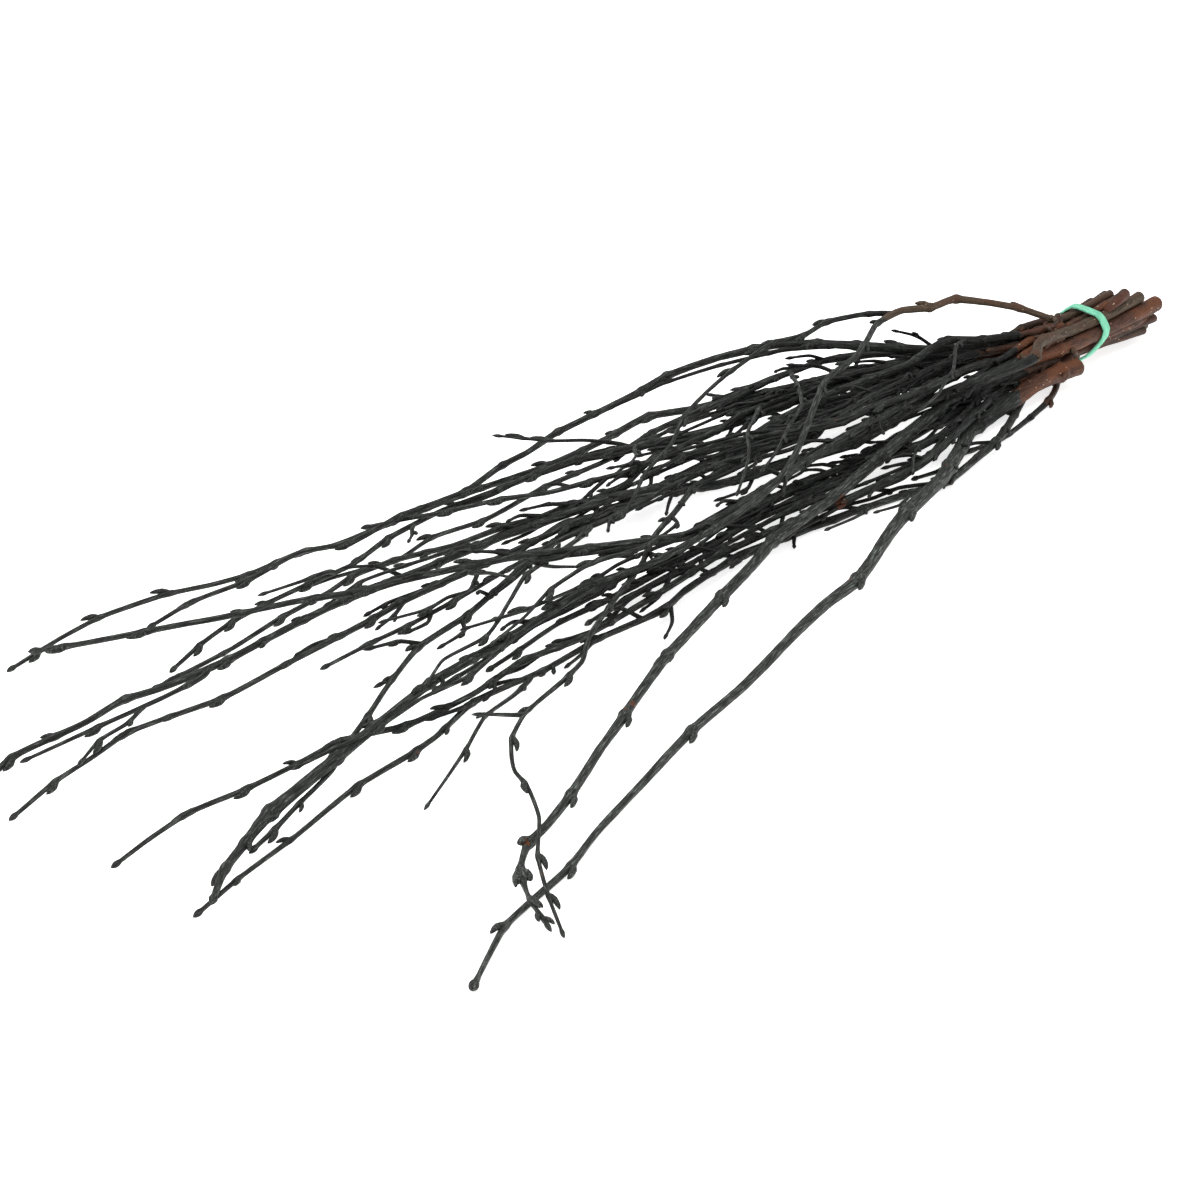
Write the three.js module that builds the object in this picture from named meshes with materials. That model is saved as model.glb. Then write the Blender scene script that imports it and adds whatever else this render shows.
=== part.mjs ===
import * as THREE from 'three';

// Bundle of cut twigs lying on a surface: cut ends at -X, tips at +X, surface at z = 0.
// Each stem and each side shoot is one tapered tube with its buds, held by one band.
// Sizes are in millimetres.

const VIEWPOINT = new THREE.Vector3(977.2, 510.6, 403.7);
const AXIS_Y = -2;
const AXIS_Z = 13.8;
const BAND_X = 57;
const BAND_WIDTH = 4.8;
const BAND_THICKNESS = 1.2;
const BAND_STRAIGHT = 11;
const BAND_STATIONS = 28;
const CUT_SPLAY = 1.12;
const BAND_GAP = 0.55;
const BAND_CLEARANCE = 0.05;
const BAND_SAMPLES = 24;
const GAP = 0.38;
const SURFACE_CLEARANCE = 0.02;
const BUD_HEIGHT = 2.3;
const BUD_REACH = 3.8;
const BUD_BASE = 2.2;
const BUD_END = 1.2;
const BUD_LOWEST = 0.5;
const BUD_THICKNESS = 0.7;
const TIP_BUD_LENGTH = 4.5;
const TIP_BUD_WIDEST = 0.6;
const TIP_BUD_SWELL = 1.35;
const NODE_SWELL = 1.1;
const RADIUS_FALL = 0.72;
const STEM_SIDES = 5;
const SHOOT_SIDES = 4;
const GATHER = 0.03;
const PASSES = 420;
const SMOOTH_PASSES = 300;
const SMOOTH_SHARE = 0.2;
const PUSH_SHARE = 0.52;
const CROSSING = 0.3;
const BARK_COLOUR = 0x2c3030;
const BAND_COLOUR = 0x7fd8b8;

// Where the band runs round the bundle: turn in degrees from +Y towards +Z, and X.
const BAND_LINE = [
  [-52, 62], [-35, 60], [-18, 56], [-3, 52], [20, 49.5], [45, 50.3], [65, 52], [90, 53.5],
  [115, 56], [180, 60], [245, 63],
];

// One entry per stem. The slot is its place in the tied bundle, off the bundle's axis.
// A route point is the place it covers on the surface seen from VIEWPOINT, its height
// over the surface and, where a bud grows, the bud's side: 1 for +Y and -1 for -Y.
const STEMS = [
  {
    name: 'stem_arch',
    slot: [-2.6, 8.9],
    cut: 22,
    radii: [2.0, 1.4],
    route: [
      [14, -42, 30], [11, -58, 35], [14, -75, 40], [20, -90, 43, -1], [38, -93, 46, -1],
      [50, -101, 48], [75, -99, 50], [95, -90, 50], [115, -82, 49], [145, -76, 47],
      [190, -53, 41], [220, -37, 36], [250, -24, 31], [285, -17, 27], [320, -14, 23],
      [345, -14, 20], [370, -18, 18, -1], [395, -16, 16], [425, -13, 14, 1],
      [467, -10.5, 12, -1], [490, -5.5, 11], [523, 2, 9, -1], [545, 7, 8],
      [560, 10.5, 7, -1], [580, 19, 6], [590, 23.5, 5.5, -1], [599, 30, 5], [605, 34.5, 4.5],
    ],
  },
  {
    name: 'stem_top_front',
    slot: [1.9, 9.1],
    cut: 17,
    radii: [2.2, 0.9],
    route: [
      [42, -46, 28], [55, -54, 31], [64, -64, 33], [82, -63, 32], [100, -60, 30],
      [130, -63, 26], [160, -66, 24], [200, -65, 21], [225, -62.5, 19], [252, -72, 17],
      [262, -79, 17, -1], [290, -71, 15], [330, -73, 14], [355, -80, 13, -1],
      [380, -83, 12], [405, -91, 12, -1], [425, -93, 11, 1], [440, -90, 10],
      [465, -88, 8, 1], [495, -83, 7], [520, -81.5, 6, -1], [533, -81, 5.5],
    ],
  },
  {
    name: 'stem_back_high',
    slot: [-6.2, 6.9],
    cut: 19,
    radii: [2.4, 0.9],
    route: [
      [85, -58, 25], [95, -73, 27, -1], [105, -90, 28, -1], [115, -105, 27, 1],
      [125, -116, 27], [140, -122.5, 26, 1], [160, -128, 25], [193, -131, 23, -1],
      [220, -127.5, 21], [250, -125.5, 19], [274, -124, 17, -1], [300, -118.5, 16],
      [316, -117, 15, -1], [345, -110, 14, 1], [380, -113, 13], [410, -111, 12, 1],
      [425, -120, 11], [455, -118, 10, 1], [480, -121, 9, -1], [504, -118, 8],
    ],
  },
  {
    name: 'stem_back_low',
    slot: [-8.6, 3.5],
    cut: 14,
    radii: [2.3, 0.9],
    route: [
      [130, -75, 18], [160, -86, 19], [190, -98, 18, -1], [210, -104, 17],
      [228, -112, 16, 1], [262, -109, 14], [298, -108.5, 12, -1], [330, -113, 11],
      [360, -116, 10], [380, -117, 9.5, -1], [412, -119, 8], [421, -123, 8, -1],
      [450, -124, 7, 1], [465, -128, 6.5], [480, -134, 6, -1], [510, -138, 5, -1],
      [530, -135.5, 4.5], [541, -133, 4, 1], [557, -129.5, 3.5],
    ],
  },
  {
    name: 'stem_back_mid',
    slot: [-9.3, -0.6],
    cut: 8,
    radii: [2.1, 0.8],
    route: [
      [110, -82, 21], [130, -91, 21], [160, -93, 20], [200, -94.5, 18],
      [246, -96, 16, -1], [275, -92.5, 14], [316, -94, 13, 1], [356, -91, 12, 1],
      [380, -95.5, 11, -1], [400, -92, 10], [430, -99.5, 9], [446, -101, 8.5],
    ],
  },
  {
    name: 'stem_back_short',
    slot: [-7.9, -4.9],
    cut: 4,
    radii: [2.0, 0.9],
    route: [
      [110, -66, 13], [150, -76, 14], [190, -80, 13], [210, -89.5, 12],
      [232, -92.5, 11, -1], [266, -90, 10],
    ],
  },
  {
    name: 'stem_middle_back',
    slot: [-4.4, 1.2],
    cut: 6,
    radii: [2.2, 0.9],
    route: [
      [110, -62, 20], [150, -68, 20], [190, -74, 19], [225, -78, 18], [245, -86.5, 17],
      [272, -95, 16, 1], [288, -101, 15, -1], [310, -104, 14, 1], [335, -106, 13],
      [360, -109, 12], [393, -106.5, 11, 1], [420, -99.5, 10], [440, -100, 9, 1],
      [456, -100, 8.5], [480, -98.5, 8, 1], [500, -93.5, 7, 1], [520, -86, 6],
    ],
  },
  {
    name: 'stem_middle_cross',
    slot: [-1.6, 4.3],
    cut: 9,
    radii: [2.1, 0.9],
    route: [
      [100, -64, 24], [130, -72, 24], [160, -77, 23], [190, -78.5, 21], [205, -79.5, 21, -1],
      [225, -76, 20, -1], [255, -77, 18], [283, -77, 17], [300, -82, 17, 1],
      [320, -88, 16], [337, -98, 15, 1], [358, -106, 15, 1], [380, -116, 13],
      [394, -121, 12],
    ],
  },
  {
    name: 'stem_middle_thick',
    slot: [6.2, 6.9],
    cut: 12,
    radii: [2.7, 1.2],
    route: [
      [48, -24.5, 26], [67, -15.5, 24], [95, -16, 20], [130, -20, 16], [160, -21, 14],
      [200, -20, 13], [220, -26, 13.5], [250, -35, 14],
      [270, -42, 15], [288, -58, 15], [305, -65, 14], [330, -69, 13], [360, -74, 12],
      [400, -77, 11], [450, -81, 10], [480, -79.5, 9], [500, -78, 9, 1], [530, -80, 8],
      [542, -83, 7.5, -1], [560, -80.5, 7], [592, -80, 6, 1], [614, -71, 5],
    ],
  },
  {
    name: 'stem_middle_straight',
    slot: [-4.7, -8.1],
    cut: 2,
    radii: [2.3, 0.9],
    route: [
      [110, -48, 13], [150, -50, 13], [200, -54, 12], [250, -56, 11], [290, -57, 10],
      [320, -58, 10], [340, -61, 10, 1], [370, -61, 10], [410, -62.5, 10],
      [430, -63, 10, -1], [445, -61.5, 10, 1], [490, -59.5, 8], [520, -58, 7, 1],
      [545, -62.5, 6], [556, -64, 6, -1], [575, -60, 5], [592, -57, 5, 1],
      [616, -49, 4],
    ],
  },
  {
    name: 'stem_middle_high',
    slot: [2.3, 4.0],
    cut: 5,
    radii: [2.1, 0.8],
    route: [
      [90, -42, 21], [150, -45, 20], [190, -43, 19], [220, -40, 18], [255, -47.5, 17],
      [290, -50, 16], [320, -50, 15, 1], [355, -53, 14], [385, -52, 14],
      [415, -50.5, 13, 1], [440, -49, 12, 1], [457, -49, 11, -1], [484, -48, 9],
    ],
  },
  {
    name: 'stem_diagonal',
    slot: [0, 0],
    cut: 0,
    radii: [2.5, 1.1],
    route: [
      [90, -36, 23], [150, -33, 25], [200, -30, 25], [240, -26, 25], [280, -21, 24],
      [315, -20, 23], [340, -34, 23], [350, -39, 23, 1], [372, -54, 22],
      [390, -63, 21, -1], [420, -75, 20], [430, -78, 19, 1], [450, -90, 18],
      [480, -103, 16], [506, -116, 14, 1], [525, -125, 12], [532, -129, 12, 1],
      [543, -136, 10],
    ],
  },
  {
    name: 'stem_long_front',
    slot: [-3.5, -3.0],
    cut: 1,
    radii: [2.3, 0.9],
    route: [
      [110, -52, 11], [160, -56, 10], [220, -58, 9], [280, -58, 8.5], [320, -57.5, 8],
      [350, -56, 8], [370, -52, 8], [395, -44.5, 8], [420, -37.5, 8, 1],
      [450, -33, 8, -1], [462, -28, 8], [480, -19.5, 8], [497, -10.5, 8, 1],
      [512, -3.5, 7.5], [529, 5.5, 7], [549, 12, 6], [565, 17.5, 5.5, 1], [579, 21.5, 5],
    ],
  },
  {
    name: 'stem_droop',
    slot: [4.4, -8.2],
    cut: 0,
    radii: [2.2, 0.65],
    route: [
      [110, -38, 14], [160, -44, 15], [220, -46, 16], [280, -45, 18], [300, -37, 18],
      [325, -28, 18], [345, -17, 17], [375, -5, 16], [405, 8, 15], [420, 18, 15],
      [430, 21, 14, 1], [461, 28, 13], [475, 35.5, 12, 1], [490, 51, 10],
      [493, 58, 9, -1], [505, 75, 8], [522, 90, 6, 1], [536, 107, 5, 1], [549, 125, 4],
    ],
  },
  {
    name: 'stem_front_thick',
    slot: [8.8, 2.9],
    cut: 1,
    radii: [3.5, 1.2],
    route: [
      [54, -17.5, 17], [74, -18.8, 16], [100, -19, 14], [140, -16, 12], [180, -9, 10.5], [220, -1, 9.5],
      [245, 4, 8.5], [280, 8.5, 7.5], [300, 11, 7, -1], [320, 17.5, 6.5],
      [350, 25.5, 6, 1], [380, 34, 5.5], [398, 39, 5.5, -1], [430, 51, 5],
      [440, 55, 5, 1], [460, 62.5, 4.5], [490, 75, 4.5, 1], [509, 81.5, 4],
      [521, 84.5, 4], [532, 92, 3.5, -1], [542, 105, 3, 1], [549, 120, 2.5],
    ],
  },
  {
    name: 'stem_front_low',
    radii: [4.0, 1.0],
    route: [
      [59, 2, 8.6], [73, -2, 8.6], [89, -3.5, 8.2], [120, -3, 6.8], [155, 0.5, 5],
      [170, 9, 4.3], [190, 18, 4], [210, 26, 4],
      [245, 33.5, 4, 1], [265, 39.5, 4], [285, 47, 4], [305, 53.5, 4, 1],
      [330, 56.5, 4], [350, 60.5, 3.8], [395, 71, 3.5], [432, 77, 3.2, 1],
      [470, 86.5, 3], [500, 94, 2.5], [518, 100, 2.3, 1], [555, 107, 2, -1],
      [585, 122, 1.6],
    ],
  },
  {
    name: 'stem_front_curved',
    slot: [8.2, -4.4],
    cut: 0,
    radii: [2.1, 0.9],
    route: [
      [100, 0, 3.2], [120, 7, 3], [140, 16, 3], [160, 22, 3, 1], [180, 24, 3],
      [205, 26.5, 3], [225, 21, 3], [262, 13, 2.5], [290, 9, 2.5], [320, 6, 4],
      [350, 8, 5], [367, 12, 5.5, 1], [400, 9, 6], [430, 10, 6], [464, 7, 6, -1],
      [490, 14, 5.5], [500, 15.5, 5, 1], [528, 17, 4.5, 1], [563, 24.5, 4],
      [590, 29, 3.5], [612, 34.5, 3],
    ],
  },
  {
    name: 'stem_front_wavy',
    slot: [-0.3, -9.3],
    cut: 3,
    radii: [2.2, 0.9],
    route: [
      [120, -4, 8], [160, 6, 8], [180, 10, 8], [200, 12.5, 8], [240, 9, 7],
      [280, 4, 6], [320, 1, 7], [360, 4, 8], [410, 5, 9], [430, 1, 9, -1],
      [460, 4, 8], [490, 1.5, 8, 1], [512, -8, 7, -1], [530, -7.5, 6],
      [553, -8, 5.5, 1], [575, -10.5, 5, -1], [595, -7.5, 4], [612, -3.5, 3.5],
    ],
  },
  {
    name: 'stem_inner_short',
    slot: [1.6, -4.3],
    cut: 3,
    radii: [2.0, 0.9],
    route: [
      [120, -8, 6], [160, 0, 5.5], [180, 3, 5, -1], [210, -2, 4.5], [260, -2, 4],
      [320, -2, 4], [370, -2, 4, -1], [398, 0, 4],
    ],
  },
];

// One entry per side shoot, which starts beside its parent near its first route point.
const SHOOTS = [
  {
    name: 'shoot_front_short',
    parent: 'stem_front_low',
    radii: [1.6, 0.9],
    route: [
      [72, -1, 8], [77, 3, 4], [90, 9, 2.5], [100, 12, 2.5, 1], [130, 17, 2.5],
      [150, 19, 2.5], [173, 15.5, 2.5], [195, 19, 2.5, 1], [213, 16, 2.5],
    ],
  },
  {
    name: 'shoot_arch',
    parent: 'stem_arch',
    radii: [1.2, 0.7],
    route: [
      [57, -102, 50], [66, -110, 52], [85, -117, 52, -1], [107, -115, 51, 1],
      [123, -120, 50, -1], [153, -115.5, 48], [165, -113.5, 46, -1], [190, -107, 43],
      [222, -96, 39, 1], [250, -80.5, 35], [280, -70, 31], [300, -59, 28],
      [320, -49, 26],
    ],
  },
  {
    name: 'shoot_top_arc',
    parent: 'stem_top_front',
    radii: [1.0, 0.6],
    route: [
      [60, -59, 33], [70, -56, 35], [80, -50, 36], [95, -41, 37], [110, -35, 36],
      [128, -28, 34], [150, -23, 31],
    ],
  },
  {
    name: 'shoot_back_over',
    parent: 'stem_back_mid',
    radii: [1.0, 0.6],
    route: [
      [153, -93, 21], [160, -84, 27], [180, -66, 32], [200, -57, 34], [230, -42, 34],
      [248, -35, 33],
    ],
  },
  {
    name: 'shoot_back_up',
    parent: 'stem_back_mid',
    radii: [0.9, 0.6],
    route: [
      [264, -94, 16], [271, -110, 23], [281, -122, 26, -1], [286, -133, 28, -1],
      [292, -146, 30],
    ],
  },
  {
    name: 'shoot_middle_over',
    parent: 'stem_middle_cross',
    radii: [1.0, 0.6],
    route: [
      [193, -78, 22], [205, -72, 29], [218, -65, 33], [235, -51, 34], [252, -40, 33],
      [273, -28, 31],
    ],
  },
  {
    name: 'shoot_middle_spur',
    parent: 'stem_middle_cross',
    radii: [0.9, 0.6],
    route: [[274, -77, 19], [280, -81, 21], [287, -86, 22]],
  },
  {
    name: 'shoot_back_fork',
    parent: 'stem_middle_back',
    radii: [0.9, 0.6],
    route: [[430, -99.5, 10], [443, -103, 12], [460, -107.5, 12]],
  },
  {
    name: 'shoot_back_spur',
    parent: 'stem_middle_back',
    radii: [0.9, 0.6],
    route: [[262, -91, 17], [270, -84, 21], [280, -79, 22]],
  },
  {
    name: 'shoot_back_spike',
    parent: 'stem_middle_back',
    radii: [0.9, 0.6],
    route: [[380, -107.5, 12], [385, -102, 14], [391, -97.5, 15]],
  },
  {
    name: 'shoot_thick_fork',
    parent: 'stem_middle_thick',
    radii: [0.9, 0.6],
    route: [[382, -75.5, 12], [400, -81, 15], [428, -86, 15, 1], [451, -82, 13]],
  },
  {
    name: 'shoot_thick_end',
    parent: 'stem_middle_thick',
    radii: [1.0, 0.7],
    route: [[512, -78, 8.5], [530, -75.5, 8], [560, -75.5, 6.5, 1], [592, -75.5, 5]],
  },
  {
    name: 'shoot_thick_twiglet',
    parent: 'shoot_thick_end',
    radii: [0.8, 0.6],
    route: [[544, -75.5, 7], [552, -71, 8], [566, -68, 8, 1], [581, -59.5, 7]],
  },
  {
    name: 'shoot_high_long',
    parent: 'stem_middle_high',
    radii: [1.0, 0.6],
    route: [
      [340, -52, 14], [352, -48, 17], [370, -44.5, 18], [385, -42, 18, 1],
      [405, -32, 18], [430, -20, 18, 1], [452, -19.5, 17], [470, -11, 16, 1],
      [491, -7, 14],
    ],
  },
  {
    name: 'shoot_high_spur',
    parent: 'stem_middle_high',
    radii: [0.9, 0.6],
    route: [[374, -52.5, 14], [370, -42, 20], [361, -31, 22]],
  },
  {
    name: 'shoot_straight_spur',
    parent: 'stem_middle_straight',
    radii: [0.9, 0.6],
    route: [[396, -62, 10], [391, -52, 18], [387, -43, 20]],
  },
  {
    name: 'shoot_straight_fork',
    parent: 'stem_middle_straight',
    radii: [0.9, 0.6],
    route: [[392, -62, 10], [402, -58, 13], [415, -55, 15], [425, -53, 15, 1], [446, -58, 14]],
  },
  {
    name: 'shoot_diagonal_fork',
    parent: 'stem_diagonal',
    radii: [1.0, 0.6],
    route: [
      [327, -26, 23], [337, -25, 25], [360, -30, 24, -1], [388, -26, 22, 1],
      [410, -19, 20], [433, -15, 18],
    ],
  },
  {
    name: 'shoot_arch_end',
    parent: 'stem_arch',
    radii: [0.9, 0.6],
    route: [
      [428, -12.5, 14], [440, -8, 16], [455, -3.5, 15, 1], [478, -4, 13],
      [500, -0.5, 11, 1], [540, -1, 9],
    ],
  },
  {
    name: 'shoot_arch_twiglet',
    parent: 'stem_arch',
    radii: [0.8, 0.6],
    route: [[374, -18.5, 18], [384, -20.5, 21], [405, -22, 20, -1], [435, -27, 18]],
  },
  {
    name: 'shoot_curved_fork',
    parent: 'stem_front_curved',
    radii: [0.9, 0.6],
    route: [[440, 10, 6], [452, 14, 8], [469, 17, 9], [490, 28, 8, 1], [510, 37.5, 6], [526, 45, 5]],
  },
  {
    name: 'shoot_curved_hook',
    parent: 'stem_front_curved',
    radii: [0.8, 0.6],
    route: [[226, 21, 3], [236, 25, 4], [250, 23, 5]],
  },
  {
    name: 'shoot_curved_spur',
    parent: 'stem_front_curved',
    radii: [0.8, 0.6],
    route: [[246, 16, 3], [258, 18.5, 6], [276, 18, 7]],
  },
  {
    name: 'shoot_droop_spur',
    parent: 'stem_droop',
    radii: [0.8, 0.6],
    route: [[462, 28.5, 13], [467, 21, 15], [472, 14, 16]],
  },
  {
    name: 'shoot_inner_spur',
    parent: 'stem_inner_short',
    radii: [0.8, 0.6],
    route: [[192, 1, 5], [200, 6, 12], [206, 12, 14]],
  },
  {
    name: 'shoot_front_inner',
    parent: 'stem_front_thick',
    radii: [1.9, 0.9],
    route: [
      [122, -15.5, 12], [140, -15, 12], [169, -16.5, 11], [194, -15.5, 10, -1],
      [222, -15.5, 9], [245, -16, 9, 1], [277, -17, 9], [305, -17, 8.5, -1],
      [330, -16, 8], [363, -16, 8, 1], [386, -15, 7], [404, -15.5, 6, -1],
      [437, -9.5, 5.5, 1], [470, -7, 5],
    ],
  },
  {
    name: 'shoot_inner_long',
    parent: 'stem_inner_short',
    radii: [1.6, 0.9],
    route: [
      [128, -9, 3.5], [145, -9, 3.5], [186, -8, 4, 1], [209, -7.5, 4], [240, -8, 4.5, -1],
      [270, -9, 5], [307, -7.5, 5, 1], [345, -7, 5], [381, -7, 5, -1], [405, -8, 5],
      [428, -5, 5, 1], [447, -3, 5],
    ],
  },
  {
    name: 'shoot_middle_long',
    parent: 'stem_diagonal',
    radii: [1.5, 0.8],
    route: [
      [98, -34, 26], [114, -34, 28], [155, -38, 28, 1], [187, -44, 27], [209, -54, 26, -1],
      [230, -65, 24], [255, -70, 22, 1], [285, -69, 20],
    ],
  },
];

function fromSeen([x, y, height]) {
  return new THREE.Vector3(x, y, 0).lerp(VIEWPOINT, height / VIEWPOINT.z);
}

function setRadii(twig) {
  const reach = [0];
  for (let k = 1; k < twig.points.length; k += 1) {
    reach.push(reach[k - 1] + twig.points[k].distanceTo(twig.points[k - 1]));
  }
  const total = reach[reach.length - 1];
  const [first, last] = twig.spec.radii;
  twig.radii = reach.map((at) => first + (last - first) * Math.pow(at / total, RADIUS_FALL));
}

// A stem with a slot runs through the band, straight while the band is round it.
function startStem(spec) {
  const points = spec.route.map(fromSeen);
  const buds = spec.route.map((place) => place[3] ?? 0);
  const banded = Boolean(spec.slot);
  if (banded) {
    const [dy, dz] = spec.slot;
    const y = AXIS_Y + dy;
    const z = AXIS_Z + dz;
    points.unshift(
      new THREE.Vector3(spec.cut, AXIS_Y + dy * CUT_SPLAY, AXIS_Z + dz * CUT_SPLAY),
      new THREE.Vector3(BAND_X - BAND_STRAIGHT, y, z),
      new THREE.Vector3(BAND_X + BAND_STRAIGHT, y, z),
    );
    buds.unshift(0, 0, 0);
  }
  const twig = { spec, name: spec.name, points, buds, banded, sides: STEM_SIDES };
  setRadii(twig);
  return twig;
}

// A shoot is tied to the nearest place on its parent as both are seen.
function startShoot(spec, twigs) {
  const parent = twigs.find((twig) => twig.name === spec.parent);
  const points = spec.route.map(fromSeen);
  const buds = spec.route.map((place) => place[3] ?? 0);
  const twig = { spec, name: spec.name, points, buds, parent, sides: SHOOT_SIDES };
  const line = new THREE.Line3();
  const near = new THREE.Vector3();
  let best = Infinity;
  for (let k = 0; k + 1 < parent.points.length; k += 1) {
    line.set(parent.points[k], parent.points[k + 1]);
    const share = line.closestPointToPointParameter(points[0], true);
    const distance = line.at(share, near).distanceTo(points[0]);
    if (distance < best) {
      best = distance;
      twig.forkSpan = k;
      twig.forkShare = share;
    }
  }
  setRadii(twig);
  return twig;
}

function holdFork(twig) {
  const { parent, forkSpan: k, forkShare: share, points } = twig;
  const fork = parent.points[k].clone().lerp(parent.points[k + 1], share);
  const along = parent.points[k + 1].clone().sub(parent.points[k]).normalize();
  const out = points[1].clone().sub(fork);
  out.addScaledVector(along, -out.dot(along)).normalize();
  const radius = parent.radii[k] + (parent.radii[k + 1] - parent.radii[k]) * share;
  points[0].copy(fork).addScaledVector(out, radius + twig.radii[0] + GAP);
}

// Nearest places of two spans, as shares of their lengths.
function nearestShares(p, q, r, s) {
  const u = q.clone().sub(p);
  const v = s.clone().sub(r);
  const w = p.clone().sub(r);
  const uu = u.dot(u);
  const vv = v.dot(v);
  const uv = u.dot(v);
  const uw = u.dot(w);
  const vw = v.dot(w);
  const spread = uu * vv - uv * uv;
  const clamp = (value) => Math.min(1, Math.max(0, value));
  let a = spread > 1e-6 ? clamp((uv * vw - vv * uw) / spread) : 0.5;
  const b = clamp((a * uv + vw) / vv);
  a = clamp((b * uv - uw) / uu);
  return [a, b];
}

function spansOf(twigs) {
  const spans = [];
  twigs.forEach((twig, order) => {
    for (let k = 0; k + 1 < twig.points.length; k += 1) {
      spans.push({ twig, order, k });
    }
  });
  return spans;
}

function placeSpan(span) {
  const { twig, k } = span;
  const p = twig.points[k];
  const q = twig.points[k + 1];
  span.middle = p.clone().add(q).multiplyScalar(0.5);
  span.half = p.distanceTo(q) / 2 + twig.radii[k];
}

// Two twigs too close to one another give way in equal parts.
function partSpans(one, other) {
  const reach = one.half + other.half + GAP;
  if (one.middle.distanceToSquared(other.middle) > reach * reach) {
    return;
  }
  const p = one.twig.points[one.k];
  const q = one.twig.points[one.k + 1];
  const r = other.twig.points[other.k];
  const s = other.twig.points[other.k + 1];
  const [a, b] = nearestShares(p, q, r, s);
  const way = p.clone().lerp(q, a).sub(r.clone().lerp(s, b));
  const distance = way.length();
  const radii = [one.twig.radii, other.twig.radii];
  const firstRadius = radii[0][one.k] * (1 - a) + radii[0][one.k + 1] * a;
  const otherRadius = radii[1][other.k] * (1 - b) + radii[1][other.k + 1] * b;
  const missing = firstRadius + otherRadius + GAP - distance;
  if (missing <= 0) {
    return;
  }
  if (distance < CROSSING) {
    way.set(0, 0, one.order < other.order ? 1 : -1);
  }
  way.normalize();
  const push = missing * PUSH_SHARE;
  const squares = (1 - a) * (1 - a) + a * a;
  const otherSquares = (1 - b) * (1 - b) + b * b;
  p.addScaledVector(way, (push * (1 - a)) / squares);
  q.addScaledVector(way, (push * a) / squares);
  r.addScaledVector(way, (-push * (1 - b)) / otherSquares);
  s.addScaledVector(way, (-push * b) / otherSquares);
}

function smoothMoves(twig) {
  const moves = twig.points.map((point, k) => point.clone().sub(twig.rest[k]));
  for (let k = 1; k + 1 < moves.length; k += 1) {
    const mean = moves[k - 1].clone().add(moves[k + 1]).multiplyScalar(0.5);
    twig.points[k].addScaledVector(mean.sub(moves[k]), SMOOTH_SHARE);
  }
}

function gatherAtBand(twig) {
  for (const k of [1, 2]) {
    const point = twig.points[k];
    point.y += (AXIS_Y - point.y) * GATHER;
    point.z += (AXIS_Z - point.z) * GATHER;
  }
}

// Twigs rest on the surface, and where the band goes round them they rest on the band.
function restOnSurface(twig) {
  twig.points.forEach((point, k) => {
    const inBand = twig.banded && (k === 1 || k === 2);
    const under = inBand ? BAND_THICKNESS + BAND_GAP + BAND_CLEARANCE : SURFACE_CLEARANCE;
    point.z = Math.max(point.z, twig.radii[k] + under);
  });
}

function settle(twigs) {
  twigs.forEach((twig) => {
    twig.rest = twig.points.map((point) => point.clone());
  });
  const spans = spansOf(twigs);
  for (let pass = 0; pass < PASSES; pass += 1) {
    spans.forEach(placeSpan);
    for (let m = 0; m < spans.length; m += 1) {
      for (let n = m + 1; n < spans.length; n += 1) {
        if (spans[m].order !== spans[n].order) {
          partSpans(spans[m], spans[n]);
        }
      }
    }
    twigs.forEach((twig) => {
      if (pass < SMOOTH_PASSES) {
        smoothMoves(twig);
      }
      if (pass < SMOOTH_PASSES && twig.banded) {
        gatherAtBand(twig);
      }
      restOnSurface(twig);
      if (twig.parent) {
        holdFork(twig);
      }
    });
  }
}

const UP = new THREE.Vector3(0, 0, 1);

function frameAt(points, k) {
  const before = points[Math.max(k - 1, 0)];
  const after = points[Math.min(k + 1, points.length - 1)];
  const along = after.clone().sub(before).normalize();
  const side = UP.clone().cross(along).normalize();
  const over = along.clone().cross(side);
  return { along, side, over };
}

// A bud is kept where it clears the other twigs, the other buds and the surface.
function budIsClear(twig, foot, tip, twigs, kept) {
  if (tip.z < BUD_LOWEST) {
    return false;
  }
  const clearOfTwigs = twigs.every((other) => {
    if (other === twig) {
      return true;
    }
    for (let k = 0; k + 1 < other.points.length; k += 1) {
      const [a, b] = nearestShares(foot, tip, other.points[k], other.points[k + 1]);
      const place = other.points[k].clone().lerp(other.points[k + 1], b);
      const distance = foot.clone().lerp(tip, a).distanceTo(place);
      if (distance < other.radii[k] + BUD_THICKNESS + GAP) {
        return false;
      }
    }
    return true;
  });
  const clearOfBuds = kept.every((other) => {
    const [a, b] = nearestShares(foot, tip, other.foot, other.tip);
    const place = other.foot.clone().lerp(other.tip, b);
    return foot.clone().lerp(tip, a).distanceTo(place) > 2 * BUD_THICKNESS + GAP;
  });
  return clearOfTwigs && clearOfBuds;
}

function cornerDirection(frame, sides, corner) {
  const turn = (2 * Math.PI * corner) / sides;
  const direction = frame.side.clone().multiplyScalar(Math.cos(turn));
  return direction.addScaledVector(frame.over, Math.sin(turn));
}

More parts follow.
